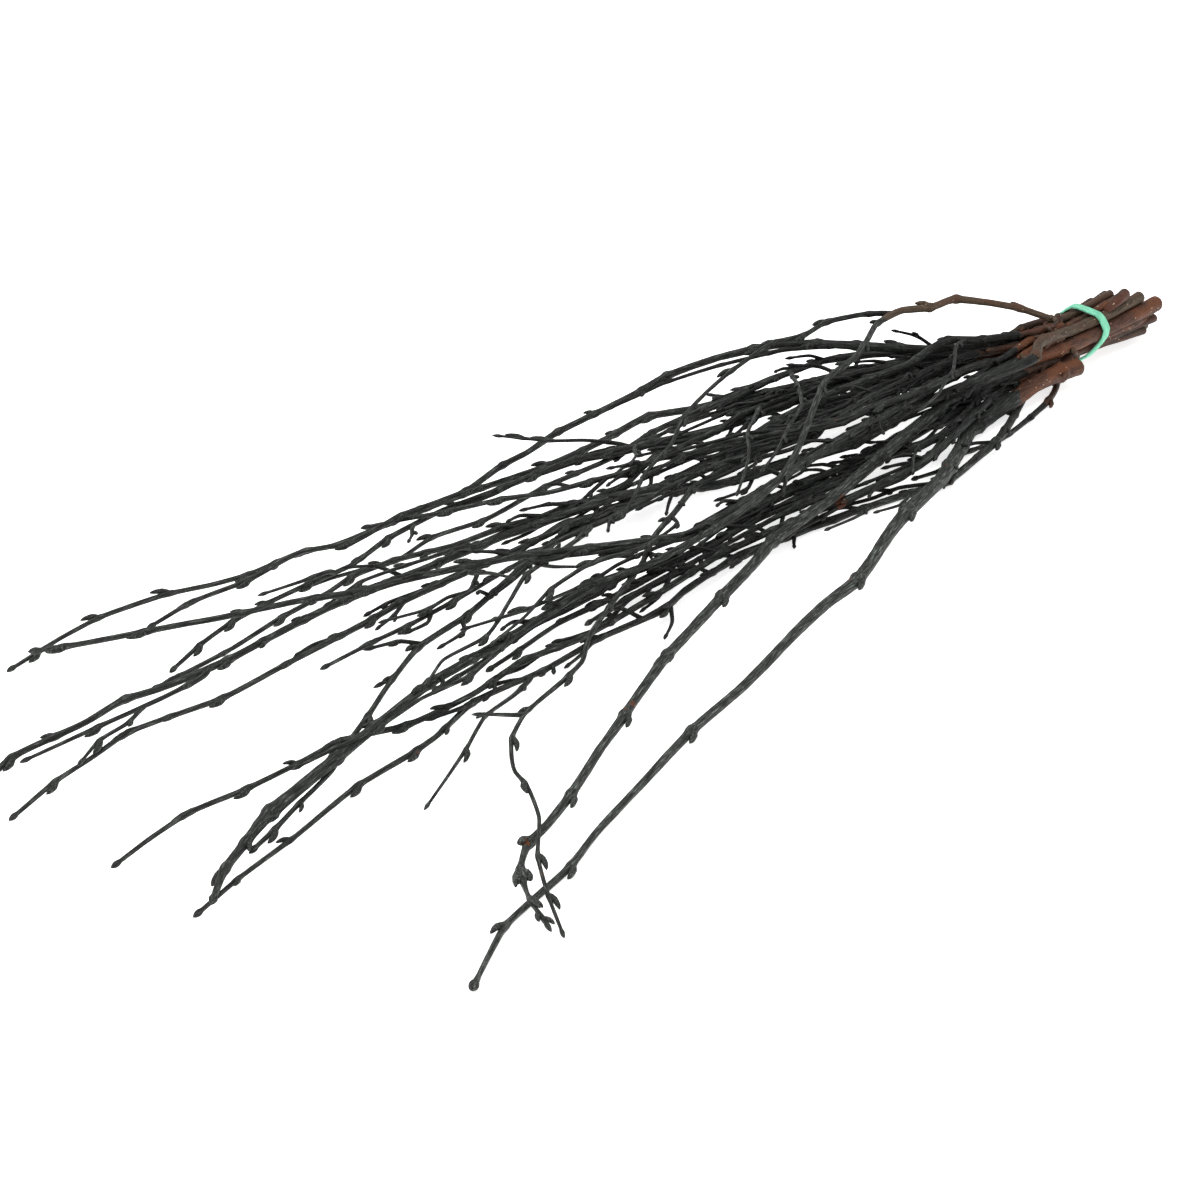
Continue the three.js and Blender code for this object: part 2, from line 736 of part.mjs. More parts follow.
// Rings of one twig: its route, two more at each bud and the swollen last bud.
function ringsOf(twig, twigs, kept) {
  const rings = [];
  const { points, radii, buds, sides } = twig;
  const last = points.length - 1;
  for (let k = 0; k < last; k += 1) {
    const frame = frameAt(points, k);
    const onward = points[k + 1].clone().sub(points[k]).normalize();
    const plain = { centre: points[k], frame, radius: radii[k] };
    const want = buds[k];
    let corner = -1;
    const foot = points[k].clone().addScaledVector(onward, BUD_BASE);
    if (want) {
      const order = [...Array(sides).keys()];
      const turned = (c) => cornerDirection(frame, sides, c).dot(frame.side) * want;
      order.sort((c, d) => turned(d) - turned(c));
      corner = order.slice(0, 3).find((c) => {
        const tip = foot.clone().addScaledVector(frame.along, BUD_REACH);
        tip.addScaledVector(cornerDirection(frame, sides, c), radii[k] + BUD_HEIGHT);
        if (!budIsClear(twig, foot, tip, twigs, kept)) {
          return false;
        }
        kept.push({ foot, tip });
        return true;
      }) ?? -1;
    }
    if (corner < 0) {
      rings.push(plain);
    } else {
      rings.push({ ...plain, radius: radii[k] * NODE_SWELL });
      rings.push({ centre: foot, frame, radius: radii[k], corner });
      const end = foot.clone().addScaledVector(onward, BUD_END);
      rings.push({ centre: end, frame, radius: radii[k] });
    }
  }
  const onward = points[last].clone().sub(points[last - 1]).normalize();
  const frame = frameAt(points, last);
  const budStart = points[last].clone().addScaledVector(onward, -TIP_BUD_LENGTH);
  const budWide = points[last].clone().addScaledVector(onward, -TIP_BUD_LENGTH * TIP_BUD_WIDEST);
  rings.push({ centre: budStart, frame, radius: radii[last] });
  rings.push({ centre: budWide, frame, radius: radii[last] * TIP_BUD_SWELL });
  return rings;
}

// A cylinder bent along the rings: its bottom is the first ring and its top the tip.
function twigMesh(twig, rings) {
  const count = rings.length;
  const shape = new THREE.CylinderGeometry(1, 1, count - 1, twig.sides, count - 1);
  const at = shape.getAttribute('position');
  const place = new THREE.Vector3();
  const tip = twig.points[twig.points.length - 1];
  for (let v = 0; v < at.count; v += 1) {
    place.fromBufferAttribute(at, v);
    const ring = rings[Math.round(place.y + (count - 1) / 2)];
    const off = Math.hypot(place.x, place.z);
    const corner = Math.round((Math.atan2(place.x, place.z) * twig.sides) / (2 * Math.PI));
    const turn = (corner + twig.sides) % twig.sides;
    if (off < 0.5) {
      place.copy(ring === rings[count - 1] ? tip : ring.centre);
    } else {
      const lift = ring.corner === turn ? BUD_HEIGHT : 0;
      const forward = ring.corner === turn ? BUD_REACH : 0;
      const direction = cornerDirection(ring.frame, twig.sides, turn);
      place.copy(ring.centre).addScaledVector(direction, ring.radius + lift);
      place.addScaledVector(ring.frame.along, forward);
    }
    at.setXYZ(v, place.x, place.y, place.z);
  }
  const mesh = new THREE.Mesh(shape, new THREE.MeshStandardMaterial({ color: BARK_COLOUR }));
  mesh.name = twig.name;
  return mesh;
}

function hullOf(places) {
  const sorted = [...places].sort((p, q) => p.x - q.x || p.y - q.y);
  const turns = (o, p, q) => (p.x - o.x) * (q.y - o.y) - (p.y - o.y) * (q.x - o.x);
  const halfOf = (list) => {
    const half = [];
    list.forEach((p) => {
      while (half.length > 1 && turns(half[half.length - 2], half[half.length - 1], p) <= 0) {
        half.pop();
      }
      half.push(p);
    });
    half.pop();
    return half;
  };
  return [...halfOf(sorted), ...halfOf(sorted.reverse())];
}

// The band is one closed loop of rubber round the stems, flat inside and rounded outside.
function bandMesh(stems) {
  const line = BAND_LINE.map(([turn, x]) => new THREE.Vector3(x, turn, 0));
  line.push(new THREE.Vector3(BAND_LINE[0][1], BAND_LINE[0][0] + 360, 0));
  const bandX = (y, z) => {
    let turn = THREE.MathUtils.radToDeg(Math.atan2(z - AXIS_Z, y - AXIS_Y));
    turn += turn < BAND_LINE[0][0] ? 360 : 0;
    const k = line.findIndex((place, m) => m > 0 && turn <= place.y);
    const share = (turn - line[k - 1].y) / (line[k].y - line[k - 1].y);
    return THREE.MathUtils.lerp(line[k - 1].x, line[k].x, share);
  };
  const places = [];
  stems.filter((stem) => stem.banded).forEach((stem) => {
    for (const k of [1, 2]) {
      for (let m = 0; m < BAND_SAMPLES; m += 1) {
        const turn = (2 * Math.PI * m) / BAND_SAMPLES;
        const off = stem.radii[k] + BAND_GAP;
        const y = stem.points[k].y + off * Math.cos(turn);
        places.push(new THREE.Vector2(y, stem.points[k].z + off * Math.sin(turn)));
      }
    }
  });
  const hull = hullOf(places).map((p) => new THREE.Vector3(p.x, p.y, 0));
  const loop = new THREE.CurvePath();
  hull.forEach((p, k) => {
    loop.add(new THREE.LineCurve3(p, hull[(k + 1) % hull.length]));
  });
  const half = BAND_WIDTH / 2;
  const section = [
    [-half, 0], [half, 0], [half, 0.65], [half * 0.5, 1], [-half * 0.5, 1], [-half, 0.65],
  ];
  const corners = [];
  for (let k = 0; k < BAND_STATIONS; k += 1) {
    const place = loop.getPointAt(k / BAND_STATIONS);
    const next = loop.getPointAt(((k + 0.5) / BAND_STATIONS) % 1);
    const before = loop.getPointAt((k + BAND_STATIONS - 0.5) / BAND_STATIONS % 1);
    const along = next.sub(before).normalize();
    const out = new THREE.Vector2(along.y, -along.x);
    section.forEach(([across, share]) => {
      const y = place.x + out.x * BAND_THICKNESS * share;
      const z = place.y + out.y * BAND_THICKNESS * share;
      corners.push(bandX(place.x, place.y) + across, y, z);
    });
  }
  const faces = [];
  const n = section.length;
  for (let k = 0; k < BAND_STATIONS; k += 1) {
    for (let m = 0; m < n; m += 1) {
      const a = k * n + m;
      const b = k * n + ((m + 1) % n);
      const c = ((k + 1) % BAND_STATIONS) * n + ((m + 1) % n);
      const d = ((k + 1) % BAND_STATIONS) * n + m;
      faces.push(a, b, c, a, c, d);
    }
  }
  const shape = new THREE.BufferGeometry();
  shape.setAttribute('position', new THREE.Float32BufferAttribute(corners, 3));
  shape.setIndex(faces);
  const mesh = new THREE.Mesh(shape, new THREE.MeshStandardMaterial({ color: BAND_COLOUR }));
  mesh.name = 'rubber_band';
  return mesh;
}

const stems = STEMS.map(startStem);
const twigs = [...stems];
SHOOTS.forEach((spec) => {
  twigs.push(startShoot(spec, twigs));
});
settle(twigs);

const kept = [];
const bundle = new THREE.Group();
bundle.name = 'bundle_of_twigs';
twigs.forEach((twig) => {
  bundle.add(twigMesh(twig, ringsOf(twig, twigs, kept)));
});
bundle.add(bandMesh(stems));

const extent = new THREE.Box3().setFromObject(bundle);
const middle = extent.getCenter(new THREE.Vector3());
bundle.children.forEach((mesh) => {
  mesh.geometry.translate(-middle.x, -middle.y, -extent.min.z);
});

export default bundle;
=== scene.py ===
import bisect
import math
import random

import bmesh
import bpy
from mathutils import Matrix, Vector, geometry, noise


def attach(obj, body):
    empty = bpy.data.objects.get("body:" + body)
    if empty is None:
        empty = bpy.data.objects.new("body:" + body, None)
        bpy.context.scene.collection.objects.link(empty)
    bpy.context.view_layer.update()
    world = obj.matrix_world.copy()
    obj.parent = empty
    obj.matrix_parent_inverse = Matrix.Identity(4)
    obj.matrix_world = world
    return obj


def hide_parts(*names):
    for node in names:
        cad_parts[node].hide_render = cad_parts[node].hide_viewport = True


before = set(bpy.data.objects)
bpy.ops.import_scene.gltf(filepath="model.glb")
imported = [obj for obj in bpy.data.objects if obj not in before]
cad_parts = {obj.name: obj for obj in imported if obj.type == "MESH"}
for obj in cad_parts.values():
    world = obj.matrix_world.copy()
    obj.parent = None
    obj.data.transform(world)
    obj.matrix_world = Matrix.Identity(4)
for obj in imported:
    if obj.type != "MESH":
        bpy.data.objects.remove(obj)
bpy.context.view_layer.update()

# The two stoutest stems, with reddish brown bark at their butts: young birch rods cut off
# square with shears. From a hand's width above the cut they were dipped in black dye.
# Each is drawn out from its cut face ring by ring, along the line its solid holds.

MM = 0.001
WELD = 0.000002
CENTRE_SLACK = 0.0005
BUD_STICKS_OUT = 0.0009
LINE_STEP = 0.001
BEND = 0.19
LOOK_AHEAD = 0.0008
STOUT_SIDES = 14
RING_STEP = 0.0015
TIP_LENGTH = 0.0045
TIP_GAP = 0.0003
TIP_SHAPE = [(0.0, 0.12), (0.0004, 0.5), (0.0011, 1.0), (0.002, 1.34), (0.0028, 1.45),
             (0.0036, 1.25), (0.0045, 1.0)]
BUD_SHAPE = [(0.0, 0.74), (0.16, 1.0), (0.38, 1.1), (0.5, 0.98), (0.7, 0.84),
             (0.88, 0.58), (1.0, 0.22)]
BUD_SIDES = 7
BUD_GIRTH = 0.00118
BUD_STAND = 0.0012
BUD_ROOT_BACK = 0.0006
BUD_TIP_PAST = 0.0005
BUD_SPACING = 0.025
BUDLESS_END = 0.012
LOWEST_BUD = 0.0008
SMALL_BUD = (0.0034, 0.0013)
SMALL_BUD_SIZE = 0.75
BARE_FROM_CUT = -0.236
NODE_SWELL = 0.34
NODE_REACH = 0.0019
NODE_WITHIN = 0.008
MOST_SWELL = 1.8
SHELF = 0.0008
SHELF_BACK = 0.0004
SHELF_REACH = 0.0012
SHELF_WITHIN = 0.004
WRINKLE = 0.085
LOWEST_BARK = 0.0001
RIM_SHARE = 0.16
RIM_DEPTH = -0.00012
CUT_DEPTH = -0.0001
FOOT_SHARE = 0.12
FOOT_GIRTHS = (1.25, 1.12)
TAPER = ((0.0, 1.0), (0.35, 1.0), (1.0, 0.84))
DYE_LINE = -0.204
DYE_EDGE = 0.0015
DYE_WAVES = ((900, 0.0022), (260, 0.004))
DARKER_DYE_TO = -0.19
DARKER_DYE_FADE = 0.09
SCARS = [(Vector((0.2164, 0.0913, 0.0066)), 0.0012),
         (Vector((-0.0454, 0.0203, 0.0081)), 0.0035),
         (Vector((0.1308, 0.0619, 0.0081)), 0.0018)]
grown = {}


def middle(places):
    return sum(places, Vector()) / len(places)


def solid_rings(node_name):
    """The rings of corners along a twig's solid, from its cut end to its tip."""
    solid = bmesh.new()
    solid.from_mesh(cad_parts[node_name].data)
    bmesh.ops.remove_doubles(solid, verts=solid.verts, dist=WELD)
    for corner in solid.verts:
        rings = [[corner]]
        seen = {corner}
        while rings[-1]:
            near = [edge.other_vert(vert) for vert in rings[-1] for edge in vert.link_edges]
            rings.append([vert for vert in dict.fromkeys(near) if vert not in seen])
            seen.update(rings[-1])
        rings.pop()
        sides = len(rings[1])
        if len(rings[-1]) > 1 or any(len(ring) != sides for ring in rings[1:-1]):
            continue
        if (middle([vert.co for vert in rings[1]]) - corner.co).length < CENTRE_SLACK:
            found = [[vert.co.copy() for vert in ring] for ring in rings]
            solid.free()
            return found


def twig_knots(node_name):
    """The centre points and radii along a twig, and the tip of each bud on it."""
    rings = solid_rings(node_name)
    knots = []
    buds = []
    k = 1
    while k < len(rings) - 2:
        centre = middle(rings[k])
        radius = sum((place - centre).length for place in rings[k]) / len(rings[k])
        knots.append((centre, radius))
        ahead = rings[k + 1]
        spans = sorted((place - middle(ahead)).length for place in ahead)
        if len(ahead) > 1 and spans[-1] - spans[len(spans) // 2] > BUD_STICKS_OUT:
            tip = max(ahead, key=lambda place: (place - middle(ahead)).length)
            buds.append((len(knots) - 1, tip))
            k += 2
        k += 1
    knots.append((rings[-1][0], knots[-1][1]))
    return knots, buds


def grown_line(knots, girths=()):
    """A smooth run of centre points through the knots, with distance and radius."""
    places = [place for place, radius in knots]
    spans = [(b - a).length for a, b in zip(places, places[1:])]
    slopes = [(places[1] - places[0]) / spans[0]]
    for k in range(1, len(places) - 1):
        before = (places[k] - places[k - 1]) / spans[k - 1]
        after = (places[k + 1] - places[k]) / spans[k]
        slopes.append((before * spans[k] + after * spans[k - 1]) / (spans[k] + spans[k - 1]))
    slopes.append((places[-1] - places[-2]) / spans[-1])
    run = [places[0].copy()]
    thick = [knots[0][1]]
    marks = [0]
    for k, span in enumerate(spans):
        count = max(3, int(span / LINE_STEP))
        bend = span * BEND
        curve = geometry.interpolate_bezier(
            places[k], places[k] + slopes[k] * bend,
            places[k + 1] - slopes[k + 1] * bend, places[k + 1], count)
        run += curve[1:]
        thick += [knots[k][1] + (knots[k + 1][1] - knots[k][1]) * m / (count - 1)
                  for m in range(1, count)]
        marks.append(len(run) - 1)
    far = [0.0]
    for a, b in zip(run, run[1:]):
        far.append(far[-1] + (b - a).length)
    for k, at in enumerate(far):
        share = at / far[-1]
        for (a, low), (b, high) in zip(girths, girths[1:]):
            if a <= share <= b:
                thick[k] *= low + (high - low) * (share - a) / (b - a)
    return {"run": run, "thick": thick, "far": far, "knots": [far[m] for m in marks]}


def place_at(line, distance):
    k = min(max(bisect.bisect(line["far"], distance), 1), len(line["far"]) - 1)
    share = (distance - line["far"][k - 1]) / (line["far"][k] - line["far"][k - 1])
    share = min(max(share, 0.0), 1.0)
    place = line["run"][k - 1].lerp(line["run"][k], share)
    return place, line["thick"][k - 1] * (1 - share) + line["thick"][k] * share


def ahead_at(line, distance):
    before = place_at(line, distance - LOOK_AHEAD)[0]
    after = place_at(line, distance + LOOK_AHEAD)[0]
    return (after - before).normalized()


def tip_girth(left):
    """How much thicker than its twig an end bud is, at a distance short of its tip."""
    for (a, low), (b, high) in zip(TIP_SHAPE, TIP_SHAPE[1:]):
        if left <= b:
            return low + (high - low) * (left - a) / (b - a)
    return 1.0


def small_buds(line, marks, seed, spacing):
    """Places for the lesser buds, in turn on either side, where the solid has none."""
    length = line["far"][-1]
    found = []
    distance = BUDLESS_END
    hand = 1
    while distance < length - BUDLESS_END:
        place, radius = place_at(line, distance)
        clear = all(abs(distance - mark) > spacing * 0.5 for mark, tip in marks)
        if clear and place.x > BARE_FROM_CUT:
            ahead = ahead_at(line, distance)
            side = Vector((0, 0, 1)).cross(ahead).normalized()
            lift = noise.noise(Vector((distance * 50, seed, 2.0))) * 0.9 + 0.25
            out = (side * hand + ahead.cross(side) * lift).normalized()
            reach, height = SMALL_BUD
            tip = place + ahead * reach + out * (radius + height)
            if tip.z > LOWEST_BUD:
                found.append((distance, tip))
        hand = -hand
        distance += spacing * (1 + 0.5 * noise.noise(Vector((distance * 90, seed, 7.0))))
    return found


def add_bud(twig, grain, line, mark, tip, seed, size):
    """A blunt bud of overlapping scales, pressed to the twig it grew from."""
    place, radius = place_at(line, mark)
    ahead = ahead_at(line, mark + 0.001)
    along = ahead * (tip - place).dot(ahead)
    out = tip - place - along
    height = min(out.length, radius + BUD_STAND)
    out.normalize()
    tip = place + along * 1.05 + out * height
    root = place + out * radius * 0.4 - ahead * BUD_ROOT_BACK
    axis = (tip - root).normalized()
    length = (tip - root).length + BUD_TIP_PAST
    side = axis.cross(out).normalized()
    up = side.cross(axis)
    girth = size * BUD_GIRTH * (0.8 + 0.2 * min(radius / MM, 2.4))

    def stand(share, wide):
        bow = up * (length * 0.08 * math.sin(math.pi * share))
        spot = root + axis * (length * share) + bow
        turn = Matrix((side * girth * wide, up * girth * wide * 0.9, axis)).transposed()
        return Matrix.Translation(spot) @ turn.to_4x4()

    ring = bmesh.ops.create_circle(twig, cap_ends=True, segments=BUD_SIDES, radius=1,
                                   matrix=stand(*BUD_SHAPE[0]))["verts"]
    edges = list({edge for vert in ring for edge in vert.link_edges})
    for level, (share, wide) in enumerate(BUD_SHAPE):
        if level:
            made = bmesh.ops.extrude_edge_only(twig, edges=edges)["geom"]
            ring = [part for part in made if isinstance(part, bmesh.types.BMVert)]
            edges = [part for part in made
                     if isinstance(part, bmesh.types.BMEdge) and part.is_boundary]
            move = stand(share, wide) @ stand(*BUD_SHAPE[level - 1]).inverted()
            bmesh.ops.transform(twig, matrix=move, verts=ring)
        for vert in ring:
            vert[grain] = (vert.co - root) + Vector((0, 0, mark + seed))
    bmesh.ops.holes_fill(twig, edges=edges)


def grow_twig(name, line, marks, sides, dye_line, lumpy=1.0, step=RING_STEP, big=(),
              spacing=BUD_SPACING):
    """The mesh of one twig: bark tube, cut face, swollen nodes, buds and tip."""
    length = line["far"][-1]
    seed = sum(ord(letter) * (k + 1) for k, letter in enumerate(name)) * 0.0137 % 50
    lesser = small_buds(line, marks, seed, spacing)
    swollen = [(mark, tip, 1.0) for mark, tip in marks] + list(big)
    swollen += [(mark, tip, SMALL_BUD_SIZE) for mark, tip in lesser]

    stops = []
    distance = 0.0
    while distance < length - TIP_LENGTH - TIP_GAP:
        stops.append(distance)
        distance += step
    stops += [length - left for left, girth in reversed(TIP_SHAPE)]
    frames = []
    side = Vector((0, 0, 1))
    for distance in stops:
        place, radius = place_at(line, distance)
        ahead = ahead_at(line, distance)
        side = (side - ahead * side.dot(ahead)).normalized()
        swell = sum(size * math.exp(-((distance - mark) / NODE_REACH) ** 2)
                    for mark, tip, size in swollen if abs(distance - mark) < NODE_WITHIN)
        radius *= (1 + NODE_SWELL * min(swell, MOST_SWELL)) * tip_girth(length - distance)
        turn = Matrix((side * radius, ahead.cross(side) * radius, ahead)).transposed()
        frames.append((Matrix.Translation(place) @ turn.to_4x4(), place, radius, distance))

    twig = bmesh.new()
    grain = twig.verts.layers.float_vector.new("grain")
    dyed, cut, away_from_butt = [twig.verts.layers.float.new(title)
                            for title in ("dyed", "cut", "away_from_butt")]
    ring = bmesh.ops.create_circle(twig, cap_ends=True, segments=sides, radius=1,
                                   matrix=frames[0][0])["verts"]
    rim = twig.faces[:]
    edges = twig.edges[:]
    rings = [ring]
    for k in range(1, len(frames)):
        made = bmesh.ops.extrude_edge_only(twig, edges=edges)["geom"]
        ring = [part for part in made if isinstance(part, bmesh.types.BMVert)]
        edges = [part for part in made
                 if isinstance(part, bmesh.types.BMEdge) and part.is_boundary]
        bmesh.ops.transform(twig, matrix=frames[k][0] @ frames[k - 1][0].inverted(),
                            verts=ring)
        rings.append(ring)
    bmesh.ops.holes_fill(twig, edges=edges)

    for ring, (stand, place, radius, distance) in zip(rings, frames):
        flat = stand.inverted()
        near = [item for item in swollen if abs(distance - item[0]) < SHELF_WITHIN]
        for vert in ring:
            local = flat @ vert.co
            out = (vert.co - place).normalized()
            vert[grain] = Vector((local.x * radius, local.y * radius, distance + seed))
            ridge = noise.noise(Vector((local.x * 2.3, local.y * 2.3, distance * 70 + seed)))
            lump = noise.noise(Vector((local.x, local.y, distance * 260 + seed * 9)))
            rise = radius * WRINKLE * lumpy * (ridge + 0.6 * lump)
            for mark, tip, size in near:
                facing = max(out.dot((tip - place).normalized()), 0.0)
                gap = (distance - mark + SHELF_BACK) / SHELF_REACH
                rise += SHELF * size * facing ** 3 * math.exp(-gap ** 2)
            vert.co += out * rise

    bmesh.ops.inset_region(twig, faces=rim, thickness=frames[0][2] * RIM_SHARE,
                           depth=RIM_DEPTH)
    for vert in rim[0].verts:
        vert[cut] = 1.0
        vert[grain] = Vector((0, 0, seed)) + (frames[0][0].inverted() @ vert.co) * MM
    for vert in bmesh.ops.poke(twig, faces=rim, offset=CUT_DEPTH)["verts"]:
        vert[cut] = 1.0
    for mark, tip, size in swollen:
        add_bud(twig, grain, line, mark, tip, seed, size)
    bmesh.ops.recalc_face_normals(twig, faces=twig.faces)
    for face in twig.faces:
        face.smooth = True
    for vert in twig.verts:
        spot = vert.co
        spot.z = max(spot.z, LOWEST_BARK)
        uneven = sum(noise.noise(spot * scale) * reach for scale, reach in DYE_WAVES)
        vert[dyed] = min(max((spot.x - dye_line + uneven) / DYE_EDGE + 0.5, 0.0), 1.0)
        vert[away_from_butt] = min(max((spot.x - DARKER_DYE_TO) / DARKER_DYE_FADE, 0.0), 1.0)
        for scar, reach in SCARS:
            if (spot - scar).length < reach:
                vert[dyed] = 0.0
    mesh = bpy.data.meshes.new(name)
    twig.to_mesh(mesh)
    twig.free()
    return mesh


def shown(name, mesh, bark, *node_names):
    """The finished piece, dressed and in place of its solid."""
    mesh.materials.append(bark)
    piece = bpy.data.objects.new(name, mesh)
    bpy.context.scene.collection.objects.link(piece)
    if node_names:
        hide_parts(*node_names)
    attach(piece, "root")


def twig_piece(node_name, bark, sides, dye_line=DYE_LINE, parent=None, girths=TAPER, knobs=(),
               spacing=BUD_SPACING):
    """One twig in place of its solid. A shoot's foot is carried on into its stem. A knob is
    a bud on a swollen joint, given by its share of the length, its side and its size."""
    knots, buds = twig_knots(node_name)
    if parent:
        first, radius = knots[0]
        stem = grown[parent]
        near = min(range(len(stem["run"])), key=lambda k: (stem["run"][k] - first).length)
        back = int((stem["run"][near] - first).length * 1.1 / LINE_STEP)
        join = stem["run"][max(near - back, 0)]
        join = join + (first - join) * FOOT_SHARE
        knots = [(join, radius * FOOT_GIRTHS[0]), (first, radius * FOOT_GIRTHS[1])] + knots[1:]
        buds = [(k + 1, tip) for k, tip in buds]
    line = grown_line(knots, girths)
    grown[node_name] = line
    marks = [(line["knots"][k], tip) for k, tip in buds]
    big = []
    for share, hand, lift, size in knobs:
        distance = line["far"][-1] * share
        place = place_at(line, distance)[0]
        ahead = ahead_at(line, distance)
        side = Vector((0, 0, 1)).cross(ahead).normalized() * hand + Vector((0, 0, lift))
        tip = place + ahead * KNOB_REACH + side.normalized() * KNOB_STAND
        big.append((distance, tip, size))
    mesh = grow_twig(node_name + "_bark", line, marks, sides, dye_line, big=big,
                     spacing=spacing)
    shown(node_name + "_bark", mesh, bark, node_name)


def dyed_bark(name, pale, deep, warm, painted_light=1.0):
    """Bark in its own browns, then the black dye over it where the twig was dipped. The
    dye greys are scaled per material by the last argument: raised on the front stems as a painted
    highlight, lowered on the fine twiglets as painted shade."""
    bark = bpy.data.materials.new(name)
    bark.use_nodes = True
    nodes = bark.node_tree.nodes
    wires = bark.node_tree.links
    shader = nodes["Principled BSDF"]

    def attribute(title):
        found = nodes.new("ShaderNodeAttribute")
        found.attribute_name = title
        return found

    def grained(scale, detail=3.0, kind="ShaderNodeTexNoise"):
        spread = nodes.new("ShaderNodeMapping")
        spread.inputs["Scale"].default_value = scale
        wires.new(attribute("grain").outputs["Vector"], spread.inputs["Vector"])
        pattern = nodes.new(kind)
        pattern.inputs["Scale"].default_value = 1.0
        if kind == "ShaderNodeTexNoise":
            pattern.inputs["Detail"].default_value = detail
        wires.new(spread.outputs["Vector"], pattern.inputs["Vector"])
        return pattern

    def ramp(source, *stops):
        found = nodes.new("ShaderNodeValToRGB")
        points = found.color_ramp.elements
        while len(points) < len(stops):
            points.new(0.5)
        for point, (at, colour) in zip(points, stops):
            point.position = at
            point.color = (*colour, 1)
        wires.new(source, found.inputs["Fac"])
        return found.outputs["Color"]

    def blend(share, a, b, how="MIX"):
        mix = nodes.new("ShaderNodeMix")
        mix.data_type = "RGBA"
        mix.blend_type = how
        for socket, value in ((mix.inputs[0], share), (mix.inputs[6], a), (mix.inputs[7], b)):
            if isinstance(value, bpy.types.NodeSocket):
                wires.new(value, socket)
            else:
                socket.default_value = value
        return mix.outputs[2]

    def sum_of(a, b, share):
        plus = nodes.new("ShaderNodeMath")
        plus.operation = "MULTIPLY_ADD"
        wires.new(a, plus.inputs[0])
        plus.inputs[1].default_value = share
        wires.new(b, plus.inputs[2])
        return plus.outputs[0]

    black = (0.0, 0.0, 0.0)
    white = (1.0, 1.0, 1.0)
    streaks = grained((2000, 2000, 190)).outputs["Fac"]
    patches = grained((170, 170, 55), 2.0).outputs["Fac"]
    fine = grained((3600, 3600, 900), 4.0).outputs["Fac"]

    raw = ramp(streaks, (0.3, deep), (0.7, pale))
    raw = blend(ramp(patches, (0.46, black), (0.6, white)), raw, (*warm, 1))
    raw = blend(0.7, raw, ramp(fine, (0.34, (0.22, 0.22, 0.22)), (0.66, white)), "MULTIPLY")
    spots = grained((620, 620, 300), kind="ShaderNodeTexVoronoi")
    spot_mask = ramp(spots.outputs["Distance"], (0.13, white), (0.2, black))
    spot_mask = blend(1.0, spot_mask, ramp(spots.outputs["Color"], (0.62, black), (0.66, white)),
                      "MULTIPLY")
    raw = blend(spot_mask, raw, (0.34, 0.25, 0.17, 1))

    # The dye greys times the last argument, a painted brightness: painted highlight on the front
    # stems, painted shade on the fine twiglets.
    greys = ((0.3, 0.006), (0.48, 0.017), (0.6, 0.04), (0.76, 0.12))
    dye = ramp(streaks, *[(at, (grey * painted_light * 0.9, grey * painted_light, grey * painted_light * 0.9))
                          for at, grey in greys])
    dye = blend(0.75, dye, ramp(fine, (0.38, (0.25, 0.25, 0.25)), (0.62, white)), "MULTIPLY")
    # The dye is made 0.42 as bright towards the tied end, and comes to its full tone a little way
    # past there.
    darker_dye = blend(1.0, dye, (0.42, 0.42, 0.42, 1), "MULTIPLY")
    dye = blend(attribute("away_from_butt").outputs["Fac"], darker_dye, dye)
    chips = grained((95, 95, 40), kind="ShaderNodeTexVoronoi")
    chip_mask = ramp(chips.outputs["Distance"], (0.04, white), (0.08, black))
    dye = blend(chip_mask, dye, (0.075, 0.036, 0.024, 1))

    dipped = ramp(sum_of(streaks, attribute("dyed").outputs["Fac"], 0.35),
                  (0.6, black), (0.72, white))
    colour = blend(dipped, raw, dye)
    cut_mask = ramp(attribute("cut").outputs["Fac"], (0.35, black), (0.6, white))
    wood = ramp(fine, (0.3, (0.16, 0.075, 0.045)), (0.7, (0.3, 0.17, 0.11)))
    colour = blend(cut_mask, colour, wood)
    wires.new(colour, shader.inputs["Base Color"])

    gloss = ramp(streaks, (0.3, (0.72, 0.72, 0.72)), (0.75, (0.52, 0.52, 0.52)))
    wires.new(gloss, shader.inputs["Roughness"])
    shader.inputs["Specular IOR Level"].default_value = 0.22
    relief = nodes.new("ShaderNodeBump")
    relief.inputs["Strength"].default_value = 0.35
    relief.inputs["Distance"].default_value = 0.0003
    wires.new(sum_of(fine, streaks, 0.6), relief.inputs["Height"])
    wires.new(relief.outputs["Normal"], shader.inputs["Normal"])
    return bark


# The dye here is painted 2.1 times as bright, a painted highlight for the sheen on the front
# stems.
red_bark = dyed_bark("red_bark", (0.135, 0.057, 0.032), (0.045, 0.019, 0.013),
                     (0.16, 0.056, 0.024), 2.1)
KNOB_ENDED = ((0.0, 1.05), (0.3, 1.08), (0.87, 1.0), (0.92, 1.05), (0.938, 0.75),
              (0.955, 0.85), (0.966, 0.5), (1.0, 0.5))
BUD_ENDED = ((0.0, 1.0), (0.35, 1.0), (0.9, 0.85), (0.986, 0.8), (0.991, 1.05), (1.0, 1.15))
STOUT_SPACING = 0.075
KNOB_REACH = 0.0035
KNOB_STAND = 0.004
KNOBS = [(0.922, -1, 1.1, 1.35), (0.95, 1, 0.2, 1.4), (0.953, -1, 0.4, 1.5),
         (0.975, 1, 0.3, 0.9), (0.985, -1, 0.4, 0.8), (0.99, 1, 0.5, 0.8)]
for stem_name, edge, girths, knobs in (("stem_front_thick", -0.2, KNOB_ENDED, KNOBS),
                                       ("stem_front_low", -0.183, BUD_ENDED, ())):
    twig_piece(stem_name, red_bark, STOUT_SIDES, edge, girths=girths, knobs=knobs,
               spacing=STOUT_SPACING)

# The stems with grey-tan bark, which cross over the bundle's middle: the same birch rods
# from an older, drier shoot. The long bowed one is brown as far as its fork, because it
# stood clear of the dye.

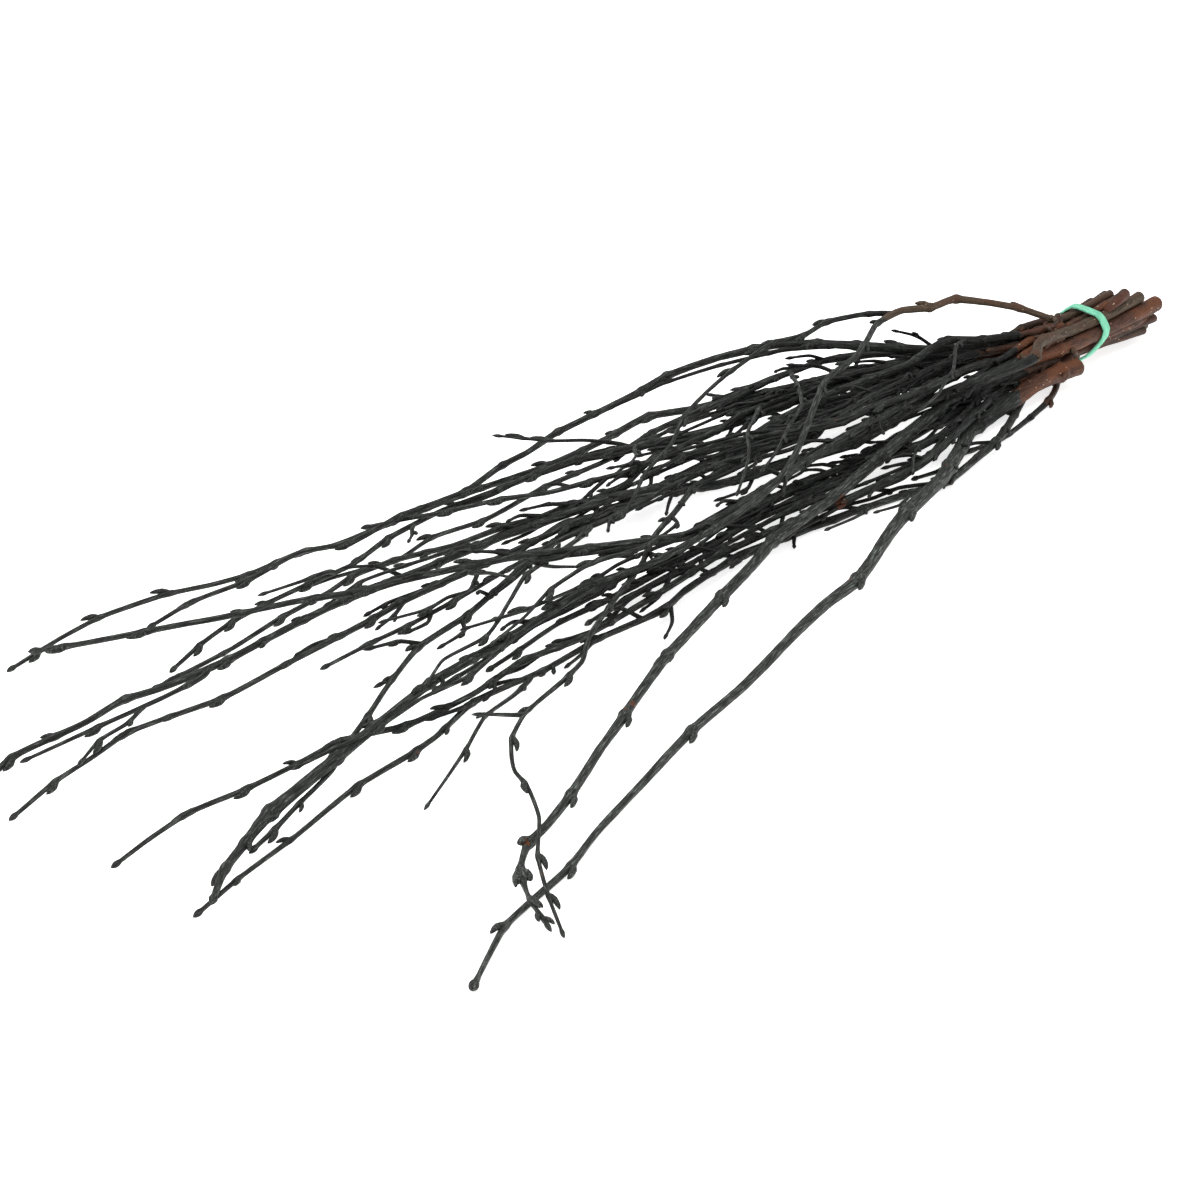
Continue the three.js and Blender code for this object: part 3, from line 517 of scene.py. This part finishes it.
tan_bark = dyed_bark("tan_bark", (0.135, 0.09, 0.055), (0.045, 0.031, 0.02),
                     (0.1, 0.05, 0.028), 1.5)
STEM_SIDES = 12
BOWED_DYE_LINE = -0.132
FORKED = ((0.0, 1.0), (0.1, 0.8), (0.265, 0.85), (0.28, 0.7), (0.62, 0.78), (0.8, 1.0),
          (0.88, 1.3), (0.92, 1.45), (0.945, 1.1), (0.97, 0.95), (1.0, 0.62))
for stem_name, edge, girths in (("stem_middle_thick", -0.188, TAPER),
                                ("stem_middle_cross", -0.209, TAPER),
                                ("stem_top_front", -0.214, TAPER),
                                ("stem_droop", -0.196, TAPER),
                                ("stem_arch", BOWED_DYE_LINE, FORKED),
                                ("stem_inner_short", -0.206, TAPER)):
    twig_piece(stem_name, tan_bark, STEM_SIDES, edge, girths=girths)

# The dark brown stems behind and beneath, tied in with the rest. Their bark is smooth and
# was darker before it was dyed.

brown_bark = dyed_bark("brown_bark", (0.085, 0.048, 0.031), (0.026, 0.016, 0.011),
                       (0.105, 0.038, 0.022), 1.4)
for stem_name, edge in (("stem_back_high", -0.217), ("stem_back_low", -0.215),
                        ("stem_back_mid", -0.209), ("stem_back_short", -0.216),
                        ("stem_middle_back", -0.212), ("stem_middle_high", -0.184),
                        ("stem_middle_straight", -0.206), ("stem_diagonal", -0.2),
                        ("stem_long_front", -0.204), ("stem_front_curved", -0.199),
                        ("stem_front_wavy", -0.2)):
    twig_piece(stem_name, brown_bark, STEM_SIDES, edge)

# The side shoots, grown from the stems at their forks. Each starts inside its stem, thicker
# at its foot, and ends in a bud. They are dyed from the dye line on, as their stems are.

SHOOT_SIDES = 9
SHOOT_TAPER = ((0.0, 1.0), (1.0, 0.88))
SHORT_SHOOT_DYE_LINE = -0.198
SHOOT_PARENTS = [
    ("shoot_front_short", "stem_front_low"), ("shoot_arch", "stem_arch"),
    ("shoot_top_arc", "stem_top_front"), ("shoot_back_over", "stem_back_mid"),
    ("shoot_back_up", "stem_back_mid"), ("shoot_middle_over", "stem_middle_cross"),
    ("shoot_middle_spur", "stem_middle_cross"), ("shoot_back_fork", "stem_middle_back"),
    ("shoot_back_spur", "stem_middle_back"), ("shoot_back_spike", "stem_middle_back"),
    ("shoot_thick_fork", "stem_middle_thick"), ("shoot_thick_end", "stem_middle_thick"),
    ("shoot_thick_twiglet", "shoot_thick_end"), ("shoot_high_long", "stem_middle_high"),
    ("shoot_high_spur", "stem_middle_high"), ("shoot_straight_spur", "stem_middle_straight"),
    ("shoot_straight_fork", "stem_middle_straight"), ("shoot_diagonal_fork", "stem_diagonal"),
    ("shoot_arch_end", "stem_arch"), ("shoot_arch_twiglet", "stem_arch"),
    ("shoot_curved_fork", "stem_front_curved"), ("shoot_curved_hook", "stem_front_curved"),
    ("shoot_curved_spur", "stem_front_curved"), ("shoot_droop_spur", "stem_droop"),
    ("shoot_inner_spur", "stem_inner_short"), ("shoot_front_inner", "stem_front_thick"),
    ("shoot_inner_long", "stem_inner_short"), ("shoot_middle_long", "stem_diagonal"),
]
for shoot_name, parent_name in SHOOT_PARENTS:
    edge = SHORT_SHOOT_DYE_LINE if shoot_name == "shoot_front_short" else DYE_LINE
    twig_piece(shoot_name, brown_bark, SHOOT_SIDES, edge, parent_name, SHOOT_TAPER)

# The short pieces at the tied end: butts that were cut short, and thin twigs that cross over
# the stems or fill the room between them, some of them past the band. Each is given by where
# it shows from the camera and by its height over the table.

VIEW_POINT = Vector((0.667514, 0.512533, 0.403856))
VIEW_RIGHT = Vector((-0.6561, 0.7547, 0.0))
VIEW_UP = Vector((-0.3426, -0.2978, 0.8910))
PICTURE_MIDDLE = (599, 600)
FOCAL_PIXELS = 2400
SHORT_SIDES = 12
SHORT_LUMPS = 1.5
SHORT_STEP = 0.0012
SHORT_TWIGS = [
    ("butt_back", brown_bark, -0.207, 2.1, 1.6,
     [(1092, 302, 22), (1083, 307, 22.5), (1061, 318, 22.5), (1042, 322, 26), (1021, 329, 26),
      (1003, 340, 24), (985, 348, 23)]),
    ("butt_dark", brown_bark, -0.22, 2.7, 1.8,
     [(1125, 294, 27.5), (1117, 301, 27), (1109, 307, 25), (1099, 313, 21.5), (1084, 318, 20.5),
      (1066, 322, 21)]),
    ("butt_red", red_bark, -0.22, 1.5, 1.1,
     [(1107, 303, 26.5), (1097, 309, 24.5), (1085, 317, 22), (1066, 327, 22.5)]),
    ("butt_purple", red_bark, -0.2, 2.2, 1.8,
     [(1145, 318, 10), (1133, 324, 12), (1115, 331, 13), (1095, 340, 13)]),
    ("butt_low", brown_bark, -0.196, 2.0, 1.7,
     [(1143, 330, 6), (1125, 336, 7), (1103, 343, 8), (1078, 352, 9), (1046, 365, 11),
      (1028, 372, 11), (1010, 380, 10), (985, 390, 9)]),
    ("top_twig", brown_bark, -0.21, 1.6, 1.2,
     [(1064, 318, 23.5), (1057, 321, 26), (1048, 327, 28), (1038, 331, 27), (1026, 333, 26),
      (1014, 338, 24)]),
    ("red_twig_a", red_bark, -0.2, 2.0, 1.4,
     [(1062, 326, 25), (1046, 333, 24), (1027, 342, 23), (1015, 350, 22), (1004, 358, 21),
      (988, 365, 19)]),
    ("red_twig_b", red_bark, -0.196, 2.2, 1.5,
     [(1062, 336, 22), (1040, 346, 21), (1023, 356, 20), (1013, 366, 19), (1001, 373, 17),
      (983, 380, 15)]),
    ("left_twig", tan_bark, -0.178, 1.5, 1.1,
     [(1016, 333, 25), (1000, 341, 24), (985, 344, 23), (972, 348, 22), (952, 353, 20)]),
    ("filling_a", red_bark, -0.197, 2.5, 1.6,
     [(1069, 360, 9), (1055, 366, 9), (1036, 374, 10), (1010, 384, 10), (985, 394, 10),
      (958, 406, 9)]),
    ("filling_b", brown_bark, -0.199, 2.4, 1.6,
     [(1056, 361, 12), (1030, 370, 13), (1004, 380, 14), (979, 390, 13), (950, 402, 12)]),
    ("filling_c", brown_bark, -0.204, 1.9, 1.3,
     [(1040, 352, 17), (1018, 360, 18), (998, 370, 17), (972, 384, 16), (945, 396, 14)]),
    ("filling_d", brown_bark, -0.3, 1.7, 1.2,
     [(1010, 396, 9), (991, 404, 9), (966, 414, 8), (936, 427, 7)]),
    ("filling_e", brown_bark, -0.3, 1.8, 1.3,
     [(1002, 372, 15), (984, 380, 14), (958, 389, 13), (928, 399, 12)]),
    ("filling_f", brown_bark, -0.3, 1.7, 1.2,
     [(998, 388, 11), (978, 397, 11), (952, 407, 10), (922, 420, 9)]),
    ("snag_e", brown_bark, 0.3, 1.4, 1.1, [(1045, 325, 26), (1053, 320, 27.5), (1061, 314, 28.5)]),
    ("snag_a", tan_bark, 0.3, 1.2, 0.8, [(1054, 334, 24), (1049, 330, 27), (1047, 327, 30)]),
    ("snag_b", tan_bark, 0.3, 1.5, 1.0, [(1077, 357, 12), (1074, 352, 15), (1071, 349, 17)]),
    ("snag_c", tan_bark, 0.3, 1.2, 0.8, [(1028, 362, 19), (1023, 357, 22), (1020, 354, 24)]),
    ("snag_d", brown_bark, 0.3, 1.3, 0.9, [(1070, 362, 9), (1062, 369, 8), (1059, 373, 6)]),
]


def seen(x, y, height):
    """The point at a height in millimetres that shows at a pixel of the whole picture."""
    ray = VIEW_RIGHT * (x - PICTURE_MIDDLE[0]) + VIEW_UP * (PICTURE_MIDDLE[1] - y)
    ray = ray - VIEW_RIGHT.cross(VIEW_UP) * FOCAL_PIXELS
    return VIEW_POINT + ray * ((height * MM - VIEW_POINT.z) / ray.z)


for name, bark, edge, first, last, spots in SHORT_TWIGS:
    girths = [(first + (last - first) * k / (len(spots) - 1)) * MM
              for k in range(len(spots))]
    line = grown_line([(seen(*spot), girth) for spot, girth in zip(spots, girths)])
    shown(name, grow_twig(name, line, [], SHORT_SIDES, edge, SHORT_LUMPS, SHORT_STEP), bark)

# The fine twiglets that fill the bundle between its stems: whips that leave a stem at a
# narrow angle and run on beside it, and short spurs that stand off across their neighbours.
# All of them are dyed. They are joined in two meshes, whips and spurs.

# The dye here is painted 0.7 times as bright, painted shade for the twiglets deep in the crowded
# middle.
fine_bark = dyed_bark("fine_bark", (0.085, 0.048, 0.031), (0.026, 0.016, 0.011),
                      (0.105, 0.038, 0.022), 0.7)
WHIPS = [
    ("stem_middle_back", 0.16, 150, 3.5, 2), ("stem_middle_back", 0.3, 170, -3, 1),
    ("stem_middle_back", 0.48, 120, 4, -1), ("stem_middle_cross", 0.14, 160, 4, 1),
    ("stem_middle_cross", 0.26, 180, -3.5, 2), ("stem_middle_cross", 0.4, 120, 5, -1),
    ("stem_middle_straight", 0.15, 190, 4, 1), ("stem_middle_straight", 0.24, 170, -4, 2),
    ("stem_middle_straight", 0.38, 150, 3, -1), ("stem_middle_straight", 0.55, 120, -3, 1),
    ("stem_middle_high", 0.17, 180, 4, 1), ("stem_middle_high", 0.28, 150, -4, 2),
    ("stem_middle_high", 0.42, 130, 5, 0), ("stem_diagonal", 0.18, 150, 4, -2),
    ("stem_diagonal", 0.3, 170, -4, 1), ("stem_diagonal", 0.44, 150, 3, -2),
    ("stem_long_front", 0.16, 190, 4, 1), ("stem_long_front", 0.3, 180, -4, 2),
    ("stem_long_front", 0.46, 150, 3, 1), ("stem_back_short", 0.3, 150, 4, 2),
    ("stem_back_short", 0.5, 120, -3, 1), ("stem_back_mid", 0.22, 140, -3, 2),
    ("stem_back_mid", 0.38, 130, 4, 0), ("stem_front_wavy", 0.2, 160, -4, 1),
    ("stem_front_wavy", 0.34, 150, 3, -1), ("stem_front_wavy", 0.5, 120, -3, 1),
    ("stem_inner_short", 0.2, 150, -4, 2), ("stem_inner_short", 0.34, 160, 4, 1),
    ("stem_inner_short", 0.5, 140, -3, 2), ("shoot_front_inner", 0.1, 190, 4, 1),
    ("shoot_front_inner", 0.3, 170, -3, 2), ("shoot_front_inner", 0.52, 120, 3, 1),
    ("shoot_inner_long", 0.1, 180, -4, 1), ("shoot_inner_long", 0.3, 170, 3, 2),
    ("shoot_inner_long", 0.5, 120, -3, 1), ("shoot_middle_long", 0.12, 130, 4, -1),
    ("shoot_middle_long", 0.3, 120, -3, 1), ("stem_middle_thick", 0.22, 150, -4, -1),
    ("stem_middle_thick", 0.36, 160, 3, 1), ("stem_middle_thick", 0.5, 150, -3, 1),
    ("stem_droop", 0.2, 130, 4, -1), ("stem_droop", 0.32, 120, -4, 1),
    ("stem_front_curved", 0.28, 120, -4, 1), ("stem_front_curved", 0.42, 140, 3, 2),
    ("stem_back_low", 0.24, 140, 4, 0), ("stem_back_high", 0.3, 130, 3, -2),
]
WHIP_GIRTH = (0.00115, 0.0006)
WHIP_SIDES = 7
WHIP_STEP = 0.0024
WHIP_KNOTS = 9
WHIP_STRAY = 0.0045
LOWEST_WHIP = 0.0016
SHORT_OF_TIP = 0.01


def joined(name, meshes, bark):
    whole = bmesh.new()
    for mesh in meshes:
        whole.from_mesh(mesh)
        bpy.data.meshes.remove(mesh)
    together = bpy.data.meshes.new(name)
    whole.to_mesh(together)
    whole.free()
    shown(name, together, bark)


whips = []
for k, (stem_name, start, reach, aside, lift) in enumerate(WHIPS):
    stem = grown[stem_name]
    begin = stem["far"][-1] * start
    reach = min(reach * MM, stem["far"][-1] - begin - SHORT_OF_TIP)
    knots = []
    for m in range(WHIP_KNOTS):
        share = m / (WHIP_KNOTS - 1)
        place = place_at(stem, begin + reach * share)[0]
        ahead = ahead_at(stem, begin + reach * share)
        side = Vector((0, 0, 1)).cross(ahead).normalized()
        away = min(share * 3, 1.0) * (0.7 + 0.5 * math.sin(share * 4 + k))
        stray = noise.noise(Vector((k * 3.1, share * 5, 0))) * WHIP_STRAY
        place = place + side * (aside * MM * away + stray)
        place.z = max(place.z + lift * MM * away, LOWEST_WHIP)
        girth = WHIP_GIRTH[0] + (WHIP_GIRTH[1] - WHIP_GIRTH[0]) * share
        knots.append((place, girth))
    line = grown_line(knots)
    grown["whip_%d" % k] = line
    whips.append(grow_twig("whip_%d" % k, line, [], WHIP_SIDES, DYE_LINE, step=WHIP_STEP))
joined("dyed_whips", whips, fine_bark)

SPUR_GIRTH = (0.00075, 0.0005)
SPUR_SIDES = 6
SPUR_STEP = 0.002
SPUR_FIRST = (0.03, 0.08)
SPUR_SPACING = (0.012, 0.04)
SPUR_REACH = (0.007, 0.026)
SPURLESS_TIP = 0.05
CROWDED_X = (-0.195, 0.17)
CROWDED_Y = (-0.062, 0.03)
CROWDED_TOP = 0.028
LOWEST_SPUR = 0.001
SPUR_SEED = 23
chance = random.Random(SPUR_SEED)
spurs = []
for stem_name, stem in list(grown.items()):
    if stem_name.startswith("shoot") and "inner" not in stem_name:
        continue
    distance = chance.uniform(*SPUR_FIRST)
    while distance < stem["far"][-1] - SPURLESS_TIP:
        place = place_at(stem, distance)[0]
        crowded = (CROWDED_X[0] < place.x < CROWDED_X[1]
                   and CROWDED_Y[0] < place.y < CROWDED_Y[1])
        if crowded and place.z < CROWDED_TOP:
            ahead = ahead_at(stem, distance)
            side = Vector((0, 0, 1)).cross(ahead).normalized()
            lean = chance.uniform(-1.1, 1.1)
            rise = chance.uniform(-0.5, 0.75)
            reach = chance.uniform(*SPUR_REACH)
            out = (ahead + side * lean + Vector((0, 0, rise))).normalized()
            turned = chance.uniform(-0.7, 0.7)
            bent = (ahead + side * (lean * 0.4 + turned)
                    + Vector((0, 0, rise * 0.3 + turned * 0.3))).normalized()
            knots = [(place + ahead * 0.0002, SPUR_GIRTH[0] * 1.3)]
            knots.append((place + out * reach * 0.45, SPUR_GIRTH[0]))
            knots.append((place + (out * 0.45 + bent * 0.6) * reach, SPUR_GIRTH[1]))
            if min(spot.z for spot, girth in knots) > LOWEST_SPUR:
                name = "spur_%s_%d" % (stem_name, len(spurs))
                spurs.append(grow_twig(name, grown_line(knots), [], SPUR_SIDES, DYE_LINE,
                                       step=SPUR_STEP))
        distance += chance.uniform(*SPUR_SPACING)
joined("dyed_spurs", spurs, fine_bark)

# The rubber band that ties the bundle near its cut ends: a flat loop of pale green rubber,
# stretched once round the stems and creased lengthwise where it bends over them.

BAND_HALF = 0.0024
BAND_CREASE = 0.00016
CREASE_WAVES = 8.5
SAME_TURN = 0.14
band = bmesh.new()
band.from_mesh(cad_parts["rubber_band"].data)
bmesh.ops.remove_doubles(band, verts=band.verts, dist=WELD)
bmesh.ops.join_triangles(band, faces=band.faces, angle_face_threshold=0.7,
                         angle_shape_threshold=3.1)
bmesh.ops.subdivide_edges(band, edges=band.edges, cuts=3, use_grid_fill=True)
bmesh.ops.smooth_vert(band, verts=band.verts, factor=0.5, use_axis_x=False,
                      use_axis_y=True, use_axis_z=True)
hub = middle([vert.co for vert in band.verts])
turns = [(math.atan2(vert.co.z - hub.z, vert.co.y - hub.y), vert) for vert in band.verts]
creases = {}
for turn, vert in turns:
    near = [other.co.x for angle, other in turns
            if abs(math.remainder(angle - turn, 2 * math.pi)) < SAME_TURN]
    across = (vert.co.x - (min(near) + max(near)) / 2) / BAND_HALF
    wave = math.cos(across * CREASE_WAVES + 1.2 * math.sin(turn * 3))
    wave += 0.4 * math.sin(turn * 11)
    creases[vert] = wave * BAND_CREASE * max(0.0, 1 - abs(across) ** 4)
for vert, rise in creases.items():
    out = Vector((0, vert.co.y - hub.y, vert.co.z - hub.z)).normalized()
    vert.co += out * rise
bmesh.ops.recalc_face_normals(band, faces=band.faces)
for face in band.faces:
    face.smooth = True
band_mesh = bpy.data.meshes.new("green_band")
band.to_mesh(band_mesh)
band.free()

rubber = bpy.data.materials.new("green_rubber")
rubber.use_nodes = True
nodes = rubber.node_tree.nodes
wires = rubber.node_tree.links
shader = nodes["Principled BSDF"]
place = nodes.new("ShaderNodeTexCoord")
stretch = nodes.new("ShaderNodeMapping")
stretch.inputs["Scale"].default_value = (1500, 180, 180)
wires.new(place.outputs["Object"], stretch.inputs["Vector"])
lines = nodes.new("ShaderNodeTexNoise")
lines.inputs["Scale"].default_value = 1.0
wires.new(stretch.outputs["Vector"], lines.inputs["Vector"])
tone = nodes.new("ShaderNodeValToRGB")
tone.color_ramp.elements[0].position = 0.3
tone.color_ramp.elements[0].color = (0.12, 0.47, 0.29, 1)
tone.color_ramp.elements[1].position = 0.7
tone.color_ramp.elements[1].color = (0.26, 0.74, 0.5, 1)
wires.new(lines.outputs["Fac"], tone.inputs["Fac"])
wires.new(tone.outputs["Color"], shader.inputs["Base Color"])
shader.inputs["Roughness"].default_value = 0.5
relief = nodes.new("ShaderNodeBump")
relief.inputs["Strength"].default_value = 0.4
relief.inputs["Distance"].default_value = 0.0002
wires.new(lines.outputs["Fac"], relief.inputs["Height"])
wires.new(relief.outputs["Normal"], shader.inputs["Normal"])
band_mesh.materials.append(rubber)
green_band = bpy.data.objects.new("green_band", band_mesh)
bpy.context.scene.collection.objects.link(green_band)
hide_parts("rubber_band")
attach(green_band, "root")

# The white table that the bundle lies on, with the soft light of a white studio round it,
# and the camera, which looks down on the bundle from beyond its tips.

TABLE_HALF = 5
floor_form = bmesh.new()
bmesh.ops.create_grid(floor_form, x_segments=1, y_segments=1, size=TABLE_HALF)
floor_mesh = bpy.data.meshes.new("white_table")
floor_form.to_mesh(floor_mesh)
floor_form.free()
paper = bpy.data.materials.new("white_paper")
paper.use_nodes = True
paper_shader = paper.node_tree.nodes["Principled BSDF"]
paper_shader.inputs["Base Color"].default_value = (0.93, 0.93, 0.93, 1)
paper_shader.inputs["Roughness"].default_value = 0.9
paper_shader.inputs["Specular IOR Level"].default_value = 0.1
paper_shader.inputs["Emission Color"].default_value = (1, 1, 1, 1)
paper_shader.inputs["Emission Strength"].default_value = 0.72
floor_mesh.materials.append(paper)
white_table = bpy.data.objects.new("white_table", floor_mesh)
bpy.context.scene.collection.objects.link(white_table)

studio = bpy.data.worlds.new("white_studio")
bpy.context.scene.world = studio
studio.use_nodes = True
studio.node_tree.nodes["Background"].inputs["Color"].default_value = (1, 1, 1, 1)
studio.node_tree.nodes["Background"].inputs["Strength"].default_value = 0.75


def soft_light(name, spot, aim, size, power):
    panel = bpy.data.lights.new(name, "AREA")
    panel.size = size
    panel.energy = power
    lamp = bpy.data.objects.new(name, panel)
    bpy.context.scene.collection.objects.link(lamp)
    lamp.location = spot
    lamp.rotation_mode = "QUATERNION"
    lamp.rotation_quaternion = (Vector(aim) - Vector(spot)).to_track_quat("-Z", "Y")


soft_light("overhead_panel", (0.1, 0.0, 1.6), (0, 0, 0), 1.6, 14)
soft_light("side_panel", (0.9, -0.5, 1.0), (0, 0, 0), 0.8, 6)

bpy.context.scene.view_settings.view_transform = "Standard"

lens = bpy.data.cameras.new("camera")
lens.sensor_width = 36
lens.lens = 72
lens.clip_start = 0.01
camera = bpy.data.objects.new("camera", lens)
bpy.context.scene.collection.objects.link(camera)
back = VIEW_RIGHT.cross(VIEW_UP)
camera.matrix_world = (Matrix.Translation(VIEW_POINT)
                       @ Matrix((VIEW_RIGHT, VIEW_UP, back)).transposed().to_4x4())
bpy.context.scene.camera = camera
